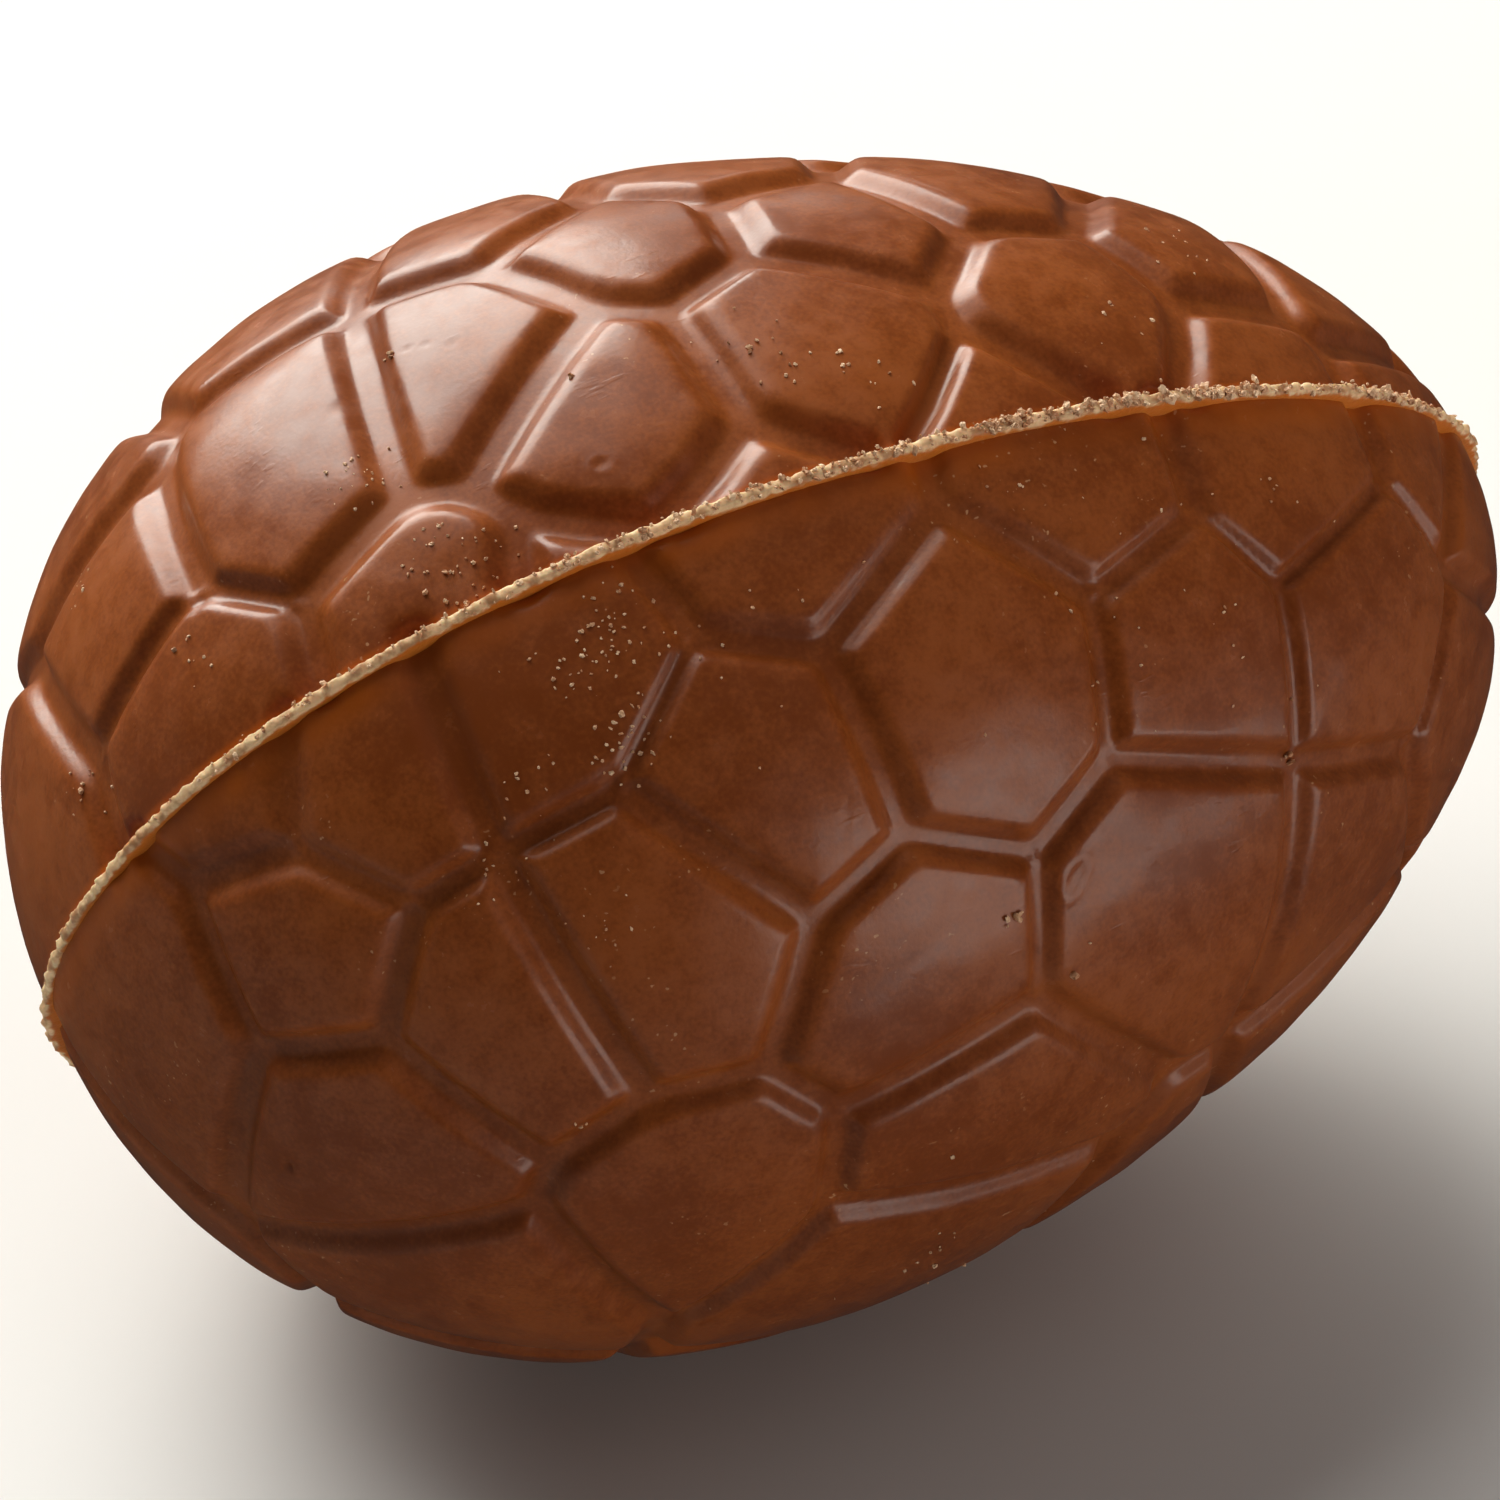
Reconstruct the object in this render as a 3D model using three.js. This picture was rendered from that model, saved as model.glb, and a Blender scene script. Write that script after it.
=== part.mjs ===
// A small moulded chocolate egg, lying on its side.
//
// The egg was cast in two halves. A thin trimmed fin runs all round the seam between them, and each half
// is covered with many-sided plates that rounded grooves divide. The whole egg is one solid.
//
// Millimetres, +Z up. The long axis lies along X, with the narrow end at +X. The origin is at the bottom
// centre of the egg's box, in the plane of the small flat that it rests on.

import * as THREE from 'three';

// ---- Body ----
const HALF_LENGTH = 25;
const HALF_WIDTH = 18.25;
const TAPER = -0.163;            // moves girth towards the blunt end
const BELLY = 0.027;             // fills out both ends
const SEAM_ANGLE = 67.1;         // degrees that the seam's front edge stands above the horizontal

// ---- Plates and grooves ----
const GROOVE_DEPTH = 0.6;
const GROOVE_HALF_WIDTH = 0.7;
const RIM_DROP = 0.07;           // how far a plate's rounded rim lies below its crown
const DOME = 0.12;               // how far a plate's middle stands above the plain egg form
const CROWN_SHARE = 0.5;         // where the crown ring lies between rim and middle
const SIDE_STEP = 1.9;           // spacing of the points along a groove
const MERGE_DISTANCE = 1.1;      // corners of the groove net nearer than this are one corner
const MOST_RIM_SHARE = 0.42;     // a rim takes at most this share of a small plate

// ---- Fin ----
const FIN_HALF_THICKNESS = 0.22;
const FIN_TIP_HALF_THICKNESS = 0.14;
const FIN_HEIGHT_AT_SIDES = 0.5;
const FIN_HEIGHT_AT_ENDS = 0.22;
const FIN_RAGGEDNESS = 0.07;
const FIN_STEP = 1.7;
const FIN_WAVES = [17, 29, 53];  // ups and downs of the uneven tip in one round of the egg

// ---- Rest ----
const REST_DEPTH = 0.4;          // how deep the rest flat cuts into the round underside
const REST_PLATE = [-3, -157, 5.7];

// Plates of the upper and lower half: [x, angle, reach]. The angle, in degrees, turns about the long axis
// from the seam's front edge, upwards on the upper half and downwards on the lower. Reach is the radius of
// the plate's circle: two neighbours meet on the common chord of their circles.
const UPPER_PLATES = [
  [-24.5, 60, 3.7], [-21, 42, 4], [-21, 13, 3.3], [-15.5, 33, 5], [-13.8, 4, 3],
  [-10.5, 0, 2.2], [-10, 28, 4.9], [-7, 15, 4.7], [-3.7, 0, 3], [-2.8, 37, 4.3],
  [0.3, 15.5, 4.7], [3.8, 33, 4.4], [5, 1, 3.4], [9.6, 16, 4.5], [15, 4, 3.8],
  [20.3, 6, 2], [15, 28, 3.8], [19.8, 24, 2.5], [9.3, 42, 4.3], [2, 53, 4],
  [-6, 54, 4], [-12.5, 66, 4.8], [-19, 70, 4],
];
const LOWER_PLATES = [
  [-24, -45, 4], [-20.6, -33, 3.8], [-20.5, -5, 3], [-17.5, -12, 4], [-12, -11, 4.6],
  [-11.2, -38, 5.3], [-16, -45, 4.5], [-19.8, -65, 4.8], [-17, -88, 4.8], [-10.8, -73, 5.3],
  [-2, -75, 6.2], [-3.5, -90, 7], [-3.6, -3, 5], [-7.2, -27, 5.2], [0.4, -24, 5.6],
  [-3.6, -50, 5], [5.5, -54, 5.8], [8, -29, 4.8], [6, -6, 4.9], [14, -9, 4.9],
  [15.5, -35, 4.9], [20.5, -11, 3], [22.5, -30, 3], [20, -62, 4], [13.2, -66, 4],
];

// Rows of plates that cover the far side of a half: angle of each row and where it starts along X.
const FAR_ROWS = {
  upper: [[84, -4], [109, -12], [135, -17], [161, -21]],
  lower: [[-100, 5.5], [-124, -16], [-149, -21], [-171, -17]],
};
const FAR_STEP = 8.6;
const FAR_END = 22.5;
const FAR_REACH = { upper: 4.4, lower: 4.9 };
const FAR_SCATTER = [1.5, 4, 0.6];   // largest change of x, angle and reach
const FAR_CLEARANCE = 6.2;           // nearer than this to another plate's centre, none is laid

// ---- Fineness of the working ----
const SEARCH_STEPS = 40;             // halvings that find the surface along a line
const SEAM_STEPS = 1440;             // steps round the seam that look for the ends of grooves
const TURN_STEP = 1e-4;              // turn over which the outline's slope is taken
const TINY = 1e-6;
const LEAST_SPREAD = 0.1;            // two directions closer than this count as one
const SCATTER_FACTOR = 1103;
const SCATTER_ADD = 12345;
const SCATTER_RANGE = 65536;

const radians = THREE.MathUtils.degToRad;
const axisX = new THREE.Vector3(1, 0, 0);
const seamOut = new THREE.Vector3(0, -Math.cos(radians(SEAM_ANGLE)), Math.sin(radians(SEAM_ANGLE)));
const seamUp = new THREE.Vector3(0, Math.sin(radians(SEAM_ANGLE)), Math.cos(radians(SEAM_ANGLE)));

// ---- Plain egg form ----

// Radius of the egg at the turn t of its outline, 0 at the narrow end and pi at the blunt end.
function girth(t) {
  const c = Math.cos(t);
  return HALF_WIDTH * Math.sin(t) * (1 + TAPER * c + BELLY * c * c);
}

function girthSlope(t) {
  return (girth(t + TURN_STEP) - girth(t - TURN_STEP)) / (2 * TURN_STEP);
}

// Outward normal of the outline at t, as its shares along the axis and away from it.
function outlineNormal(t) {
  return new THREE.Vector2(girthSlope(t), HALF_LENGTH * Math.sin(t)).normalize();
}

function onEgg(x, angle) {
  const t = Math.acos(THREE.MathUtils.clamp(x / HALF_LENGTH, -1, 1));
  const a = radians(angle);
  return new THREE.Vector3(x, 0, 0)
    .addScaledVector(seamOut, girth(t) * Math.cos(a))
    .addScaledVector(seamUp, girth(t) * Math.sin(a));
}

function isInside(p) {
  if (Math.abs(p.x) >= HALF_LENGTH) return false;
  return Math.hypot(p.y, p.z) < girth(Math.acos(p.x / HALF_LENGTH));
}

function eggNormal(p) {
  const t = Math.acos(THREE.MathUtils.clamp(p.x / HALF_LENGTH, -1, 1));
  const n = outlineNormal(t);
  const away = new THREE.Vector3(0, p.y, p.z).normalize();
  return away.multiplyScalar(n.y).addScaledVector(axisX, n.x);
}

// The point where a line through p along a direction leaves the egg, between two distances from p.
function surfaceAlong(p, direction, inner, outer) {
  let near = inner;
  let far = outer;
  for (let k = 0; k < SEARCH_STEPS; k += 1) {
    const middle = (near + far) / 2;
    if (isInside(p.clone().addScaledVector(direction, middle))) near = middle;
    else far = middle;
  }
  return p.clone().addScaledVector(direction, near);
}

function pushed(p, height) {
  return p.clone().addScaledVector(eggNormal(p), height);
}

// ---- Plan of the plates ----

// A short repeatable series of numbers from -1 to 1.
function* scatter(seed) {
  let state = seed;
  while (true) {
    state = (state * SCATTER_FACTOR + SCATTER_ADD) % SCATTER_RANGE;
    yield (2 * state) / SCATTER_RANGE - 1;
  }
}

function asPlate([x, angle, reach]) {
  return { centre: onEgg(x, angle), power: reach * reach };
}

function farPlates(rows, reach, plates, seed) {
  const turns = scatter(seed);
  const next = (most) => most * turns.next().value;
  for (const [angle, start] of rows) {
    for (let x = start; x <= FAR_END; x += FAR_STEP) {
      const regular = [x, angle, reach];
      const plate = asPlate(regular.map((value, k) => value + next(FAR_SCATTER[k])));
      const clear = plates.every((other) => other.centre.distanceTo(plate.centre) > FAR_CLEARANCE);
      if (clear) plates.push(plate);
    }
  }
}

function powerAt(p, plate) {
  return p.distanceToSquared(plate.centre) - plate.power;
}

function ownerOf(p, plates) {
  let best = 0;
  plates.forEach((plate, i) => {
    if (powerAt(p, plate) < powerAt(p, plates[best])) best = i;
  });
  return best;
}

// The plane on which two plates meet, as normal . p = offset.
function meetingPlane(a, b) {
  const normal = b.centre.clone().sub(a.centre);
  const offset = (b.centre.lengthSq() - b.power - a.centre.lengthSq() + a.power) / 2;
  return { normal, offset };
}

// The points on the egg where three plates meet.
function tripleCorners(plates, side) {
  const corners = [];
  const span = 2 * HALF_LENGTH;
  const tryLine = (i, j, k) => {
    const one = meetingPlane(plates[i], plates[j]);
    const two = meetingPlane(plates[i], plates[k]);
    const along = one.normal.clone().cross(two.normal);
    const scale = along.lengthSq();
    if (scale < TINY) return;
    const start = two.normal.clone().cross(along).multiplyScalar(one.offset)
      .addScaledVector(along.clone().cross(one.normal), two.offset)
      .divideScalar(scale);
    along.normalize();
    start.addScaledVector(along, -start.dot(along));
    if (!isInside(start)) return;
    for (const way of [1, -1]) {
      const p = surfaceAlong(start, along.clone().multiplyScalar(way), 0, span);
      const least = powerAt(p, plates[i]) - TINY;
      const free = plates.every((plate) => powerAt(p, plate) >= least);
      if (free && p.dot(seamUp) * side > 0) corners.push({ p, plates: new Set([i, j, k]) });
    }
  };
  for (let i = 0; i < plates.length; i += 1) {
    for (let j = i + 1; j < plates.length; j += 1) {
      for (let k = j + 1; k < plates.length; k += 1) tryLine(i, j, k);
    }
  }
  return corners;
}

// Corners that nearly coincide become one.
function mergedCorners(corners) {
  const kept = [];
  for (const corner of corners) {
    const near = kept.find((other) => other.p.distanceTo(corner.p) < MERGE_DISTANCE);
    if (near) {
      near.p.lerp(corner.p, 0.5);
      corner.plates.forEach((i) => near.plates.add(i));
    } else {
      kept.push(corner);
    }
  }
  return kept;
}

// ---- Seam ----

function seamPoint(turn) {
  return new THREE.Vector3(HALF_LENGTH * Math.cos(turn), 0, 0).addScaledVector(seamOut, girth(turn));
}

// Where the plate that borders the seam changes, as turns from 0 to two pi with the plates on each side.
function seamCorners(plates) {
  const corners = [];
  const at = (k) => (2 * Math.PI * k) / SEAM_STEPS;
  for (let k = 0; k < SEAM_STEPS; k += 1) {
    const before = ownerOf(seamPoint(at(k)), plates);
    const after = ownerOf(seamPoint(at(k + 1)), plates);
    if (before === after) continue;
    let low = at(k);
    let high = at(k + 1);
    while (high - low > TINY) {
      const middle = (low + high) / 2;
      if (ownerOf(seamPoint(middle), plates) === before) low = middle;
      else high = middle;
    }
    corners.push({ turn: low, plates: new Set([before, after]), after });
  }
  return corners;
}

// The turn that covers a distance along the seam.
function turnStep(turn, distance) {
  return distance / Math.hypot(HALF_LENGTH * Math.sin(turn), girthSlope(turn));
}

function sameTurn(a, b) {
  return Math.abs(a - b) < TINY;
}

// Turns of all the points along the fin: every groove's end, its two shoulders, and steps between.
function seamTurns(cornerTurns) {
  const round = 2 * Math.PI;
  const turns = [...cornerTurns];
  for (const turn of cornerTurns) {
    for (const way of [-1, 1]) {
      const shoulder = (turn + way * turnStep(turn, GROOVE_HALF_WIDTH) + round) % round;
      const clear = turns.every((other) => {
        return seamPoint(other).distanceTo(seamPoint(shoulder)) > GROOVE_HALF_WIDTH / 2;
      });
      if (clear) turns.push(shoulder);
    }
  }
  turns.sort((a, b) => a - b);
  const filled = [];
  turns.forEach((turn, k) => {
    const following = k + 1 < turns.length ? turns[k + 1] : turns[0] + round;
    const length = (following - turn) / turnStep((turn + following) / 2, 1);
    const pieces = Math.max(1, Math.round(length / FIN_STEP));
    for (let m = 0; m < pieces; m += 1) filled.push((turn + ((following - turn) * m) / pieces) % round);
  });
  return filled.sort((a, b) => a - b);
}

function finHeight(turn) {
  const fullness = Math.sin(turn) ** 2;
  const height = THREE.MathUtils.lerp(FIN_HEIGHT_AT_ENDS, FIN_HEIGHT_AT_SIDES, fullness);
  const waves = FIN_WAVES.map((wave, k) => Math.sin(wave * turn + k));
  return height + (FIN_RAGGEDNESS * waves.reduce((sum, wave) => sum + wave)) / FIN_WAVES.length;
}

// ---- Surface ----

class Skin {
  constructor() {
    this.points = [];
    this.faces = [];
  }

  add(point) {
    this.points.push(point);
    return this.points.length - 1;
  }

  // Two rows of equal length, joined by pairs of triangles.
  strip(outer, inner) {
    const count = outer.length;
    for (let k = 0; k < count; k += 1) {
      const m = (k + 1) % count;
      this.faces.push([outer[k], outer[m], inner[m]], [outer[k], inner[m], inner[k]]);
    }
  }

  fan(ring, middle) {
    ring.forEach((vertex, k) => this.faces.push([vertex, ring[(k + 1) % ring.length], middle]));
  }

  geometry() {
    const geometry = new THREE.BufferGeometry();
    const flat = this.points.flatMap((p) => p.toArray());
    geometry.setAttribute('position', new THREE.Float32BufferAttribute(flat, 3));
    geometry.setIndex(this.faces.flat());
    geometry.computeVertexNormals();
    return geometry;
  }
}

// Flat chart of a plate: two directions across it and its normal, about a middle point.
function chartAt(middle) {
  const normal = eggNormal(middle);
  const across = new THREE.Vector3().crossVectors(seamUp, normal);
  if (across.length() < LEAST_SPREAD) across.crossVectors(axisX, normal);
  across.normalize();
  const up = new THREE.Vector3().crossVectors(normal, across);
  const toFlat = (p) => {
    const d = p.clone().sub(middle);
    return new THREE.Vector2(d.dot(across), d.dot(up));
  };
  const toEgg = (flat) => {
    const p = middle.clone().addScaledVector(across, flat.x).addScaledVector(up, flat.y);
    return surfaceAlong(p, normal, -HALF_WIDTH, GROOVE_HALF_WIDTH);
  };
  return { toFlat, toEgg };
}

// The corner where the lines through two sides meet once both are moved inwards.
function insetCorner(corner, before, after, inset) {
  const inBefore = new THREE.Vector2(-before.y, before.x).normalize();
  const inAfter = new THREE.Vector2(-after.y, after.x).normalize();
  const cross = inBefore.x * inAfter.y - inBefore.y * inAfter.x;
  if (Math.abs(cross) < LEAST_SPREAD) return corner.clone().addScaledVector(inBefore, inset);
  const move = new THREE.Vector2(inAfter.y - inBefore.y, inBefore.x - inAfter.x);
  return corner.clone().addScaledVector(move, inset / cross);
}

class Half {
  constructor(skin, plates, side) {
    this.skin = skin;
    this.plates = plates;
    this.side = side;
    this.seam = seamCorners(plates);
    this.corners = mergedCorners(tripleCorners(plates, side));
    this.sides = new Map();
  }

  // Lays the row of points where this half meets the fin, in the groove at each groove's end.
  layFoot(turns) {
    this.turns = turns;
    this.foot = turns.map((turn) => {
      const corner = this.seam.find((other) => sameTurn(other.turn, turn));
      const p = pushed(seamPoint(turn), corner ? -GROOVE_DEPTH : 0);
      p.addScaledVector(seamUp, this.side * FIN_HALF_THICKNESS);
      const vertex = this.skin.add(p);
      if (corner) {
        corner.vertex = vertex;
        corner.p = seamPoint(turn);
      }
      return vertex;
    });
    for (const corner of this.corners) corner.vertex = this.skin.add(pushed(corner.p, -GROOVE_DEPTH));
  }

  // Points on the egg along the groove between two corners, ends left out, made once for both plates.
  grooveBetween(a, b) {
    const key = [a.vertex, b.vertex].sort((m, n) => m - n).join('-');
    if (!this.sides.has(key)) {
      const pieces = Math.max(1, Math.round(a.p.distanceTo(b.p) / SIDE_STEP));
      const made = [];
      const out = eggNormal(a.p).add(eggNormal(b.p)).normalize();
      for (let k = 1; k < pieces; k += 1) {
        const p = surfaceAlong(a.p.clone().lerp(b.p, k / pieces), out, 0, HALF_WIDTH);
        made.push({ p, vertex: this.skin.add(pushed(p, -GROOVE_DEPTH)) });
      }
      this.sides.set(key, { from: a.vertex, made });
    }
    const { from, made } = this.sides.get(key);
    return from === a.vertex ? made : [...made].reverse();
  }

  // Points along the seam between two of a plate's corners, ends left out.
  seamBetween(a, b, plate) {
    const count = this.turns.length;
    const first = this.turns.findIndex((turn) => sameTurn(turn, a.turn));
    const last = this.turns.findIndex((turn) => sameTurn(turn, b.turn));
    const way = a.after === plate ? 1 : -1;
    const made = [];
    for (let k = (first + way + count) % count; k !== last; k = (k + way + count) % count) {
      made.push({ p: seamPoint(this.turns[k]), vertex: this.foot[k] });
    }
    return made;
  }

  buildPlate(index) {
    const own = (corner) => corner.plates.has(index);
    const corners = [...this.corners.filter(own), ...this.seam.filter(own)];
    const mean = new THREE.Vector3();
    corners.forEach((corner) => mean.addScaledVector(corner.p, 1 / corners.length));
    const middle = surfaceAlong(mean, eggNormal(mean), 0, HALF_WIDTH);
    const chart = chartAt(middle);
    const bearing = (corner) => {
      const flat = chart.toFlat(corner.p);
      return Math.atan2(flat.y, flat.x);
    };
    corners.sort((a, b) => bearing(a) - bearing(b));
    const isSeam = (a, b) => a.turn !== undefined && b.turn !== undefined;

    const flats = corners.map((corner) => chart.toFlat(corner.p));
    const count = corners.length;
    const edges = flats.map((flat, k) => flats[(k + 1) % count].clone().sub(flat));
    const inradius = Math.min(...edges.map((edge, k) => Math.abs(flats[k].cross(edge)) / edge.length()));
    const inset = Math.min(GROOVE_HALF_WIDTH, inradius * MOST_RIM_SHARE);
    const rimCorners = flats.map((flat, k) => {
      return insetCorner(flat, edges[(k + count - 1) % count], edges[k], inset);
    });

    const outline = [];
    const rim = [];
    const crown = [];
    corners.forEach((corner, k) => {
      const m = (k + 1) % count;
      const onSeam = isSeam(corner, corners[m]);
      const between = onSeam
        ? this.seamBetween(corner, corners[m], index)
        : this.grooveBetween(corner, corners[m]);
      const side = [corner, ...between];
      const length = edges[k].lengthSq();
      for (const point of side) {
        const flat = chart.toFlat(point.p);
        const share = THREE.MathUtils.clamp(flat.clone().sub(flats[k]).dot(edges[k]) / length, 0, 1);
        const bow = flat.clone().sub(flats[k]).addScaledVector(edges[k], -share);
        const rimFlat = rimCorners[k].clone().lerp(rimCorners[m], share).add(bow);
        const crownFlat = rimFlat.clone().multiplyScalar(1 - CROWN_SHARE);
        outline.push(point.vertex);
        rim.push(this.skin.add(pushed(chart.toEgg(rimFlat), -RIM_DROP)));
        crown.push(this.skin.add(pushed(chart.toEgg(crownFlat), DOME * CROWN_SHARE)));
      }
    });
    this.skin.strip(outline, rim);
    this.skin.strip(rim, crown);
    this.skin.fan(crown, this.skin.add(pushed(middle, DOME)));
  }

  build() {
    this.plates.forEach((plate, index) => this.buildPlate(index));
  }
}

function buildFin(skin, upper, lower) {
  const tip = (side) => upper.turns.map((turn) => {
    const p = pushed(seamPoint(turn), finHeight(turn));
    return skin.add(p.addScaledVector(seamUp, side * FIN_TIP_HALF_THICKNESS));
  });
  const upperTip = tip(1);
  const lowerTip = tip(-1);
  skin.strip(upper.foot, upperTip);
  skin.strip(upperTip, lowerTip);
  skin.strip(lowerTip, lower.foot);
}

// Cuts the rest flat and moves the egg so that the bottom centre of its box is the origin.
function seat(skin) {
  const lowest = Math.min(...skin.points.map((p) => p.z));
  skin.points.forEach((p) => {
    p.z = Math.max(p.z, lowest + REST_DEPTH);
  });
  const box = new THREE.Box3().setFromPoints(skin.points);
  const centre = box.getCenter(new THREE.Vector3());
  const shift = new THREE.Vector3(-centre.x, -centre.y, -box.min.z);
  skin.points.forEach((p) => p.add(shift));
}

function eggGeometry() {
  const skin = new Skin();
  const upperPlates = UPPER_PLATES.map(asPlate);
  farPlates(FAR_ROWS.upper, FAR_REACH.upper, upperPlates, 7);
  const lowerPlates = [...LOWER_PLATES, REST_PLATE].map(asPlate);
  farPlates(FAR_ROWS.lower, FAR_REACH.lower, lowerPlates, 11);
  const upper = new Half(skin, upperPlates, 1);
  const lower = new Half(skin, lowerPlates, -1);
  const turns = seamTurns([...upper.seam, ...lower.seam].map((corner) => corner.turn));
  for (const half of [upper, lower]) {
    half.layFoot(turns);
    half.build();
  }
  buildFin(skin, upper, lower);
  seat(skin);
  return skin.geometry();
}

const chocolate = new THREE.MeshStandardMaterial({ color: 0x6b3a1e, roughness: 0.38, metalness: 0 });

const egg = new THREE.Mesh(eggGeometry(), chocolate);
egg.name = 'egg';

const object = new THREE.Group();
object.add(egg);

export default object;
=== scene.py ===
"""A small moulded chocolate egg with trimmed seam fin, plates and grooves, shown in soft studio light."""

import logging
import math
from dataclasses import dataclass, field
from enum import Enum

import bmesh
import bpy
import numpy as np
from mathutils import Matrix, Vector, kdtree, noise


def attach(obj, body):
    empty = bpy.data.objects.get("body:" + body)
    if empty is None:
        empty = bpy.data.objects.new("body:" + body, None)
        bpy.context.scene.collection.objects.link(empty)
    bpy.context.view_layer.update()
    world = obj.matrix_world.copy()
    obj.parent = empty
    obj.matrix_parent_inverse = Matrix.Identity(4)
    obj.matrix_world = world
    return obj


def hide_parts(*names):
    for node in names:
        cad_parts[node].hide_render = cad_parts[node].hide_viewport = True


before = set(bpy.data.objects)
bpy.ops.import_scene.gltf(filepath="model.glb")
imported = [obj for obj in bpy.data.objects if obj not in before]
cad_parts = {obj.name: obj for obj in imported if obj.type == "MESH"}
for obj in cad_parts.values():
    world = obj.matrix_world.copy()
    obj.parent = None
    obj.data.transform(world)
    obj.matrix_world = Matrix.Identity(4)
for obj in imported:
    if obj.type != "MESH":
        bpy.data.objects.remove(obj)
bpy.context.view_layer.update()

MM = 0.001
EGG_NODE = "egg"
BODY = "root"

log = logging.getLogger("chocolate_egg")


class Side(Enum):
    """The two moulded halves, as the way each lies from the seam plane."""

    UPPER = 1
    LOWER = -1


# ---- Working helpers ----


def start_afresh() -> None:
    """Leaves object mode clean, with nothing selected."""
    if bpy.context.object and bpy.context.object.mode != "OBJECT":
        bpy.ops.object.mode_set(mode="OBJECT")
    bpy.ops.object.select_all(action="DESELECT")


def take_hold(piece: bpy.types.Object) -> None:
    """Makes a piece the only selected and the active one.

    Args:
        piece: The object to work on next.
    """
    start_afresh()
    piece.select_set(True)
    bpy.context.view_layer.objects.active = piece


def named_piece(name: str) -> bpy.types.Object:
    """Names the piece that an operator has just added.

    Args:
        name: Name of the object and of its mesh.

    Returns:
        The named object.
    """
    piece = bpy.context.object
    piece.name = name
    piece.data.name = name
    return piece


def read_points(mesh: bpy.types.Mesh) -> np.ndarray:
    """Reads a mesh's points as rows of x, y and z."""
    flat = np.empty(3 * len(mesh.vertices))
    mesh.vertices.foreach_get("co", flat)
    return flat.reshape(-1, 3)


def write_points(mesh: bpy.types.Mesh, points: np.ndarray) -> None:
    """Moves a mesh's points to the given rows."""
    mesh.vertices.foreach_set("co", points.ravel())
    mesh.update()


def write_values(mesh: bpy.types.Mesh, name: str, values: np.ndarray) -> None:
    """Stores one number for each point of a mesh, for a finish to read.

    Args:
        mesh: The mesh that carries the numbers.
        name: Name of the attribute.
        values: One number for each point.
    """
    attribute = mesh.attributes.new(name, "FLOAT", "POINT")
    attribute.data.foreach_set("value", values.astype(np.float32))


def soft_step(values: np.ndarray, start: float, end: float, foot_ease: float, head_ease: float) -> np.ndarray:
    """Rises from 0 at start to 1 at end along a straight ramp with rounded ends.

    Args:
        values: Where to find the height of the ramp.
        start: Foot of the ramp.
        end: Head of the ramp.
        foot_ease: Rounding at the foot, in the same unit.
        head_ease: Rounding at the head.

    Returns:
        Heights from 0 to 1.
    """
    foot = foot_ease * np.logaddexp(0.0, (values - start) / foot_ease)
    head = head_ease * np.logaddexp(0.0, (values - end) / head_ease)
    return (foot - head) / (end - start)


def ripple(points: np.ndarray, wavelength: float, seed: int, waves: int = 9) -> np.ndarray:
    """A gentle unevenness in space, from plane waves in random directions.

    Args:
        points: Where to find it.
        wavelength: Mean length of the waves.
        seed: Seed of the directions and phases.
        waves: How many waves are summed.

    Returns:
        One number for each point, mostly between -1 and 1.
    """
    rng = np.random.default_rng(seed)
    ways = rng.normal(size=(waves, 3))
    ways /= np.linalg.norm(ways, axis=1, keepdims=True)
    ways *= 2 * math.pi / (wavelength * rng.uniform(0.7, 1.5, size=(waves, 1)))
    phases = rng.uniform(0, 2 * math.pi, waves)
    return np.sin(points @ ways.T + phases).sum(axis=1) / math.sqrt(waves)


# ---- The egg's plain form ----


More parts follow.
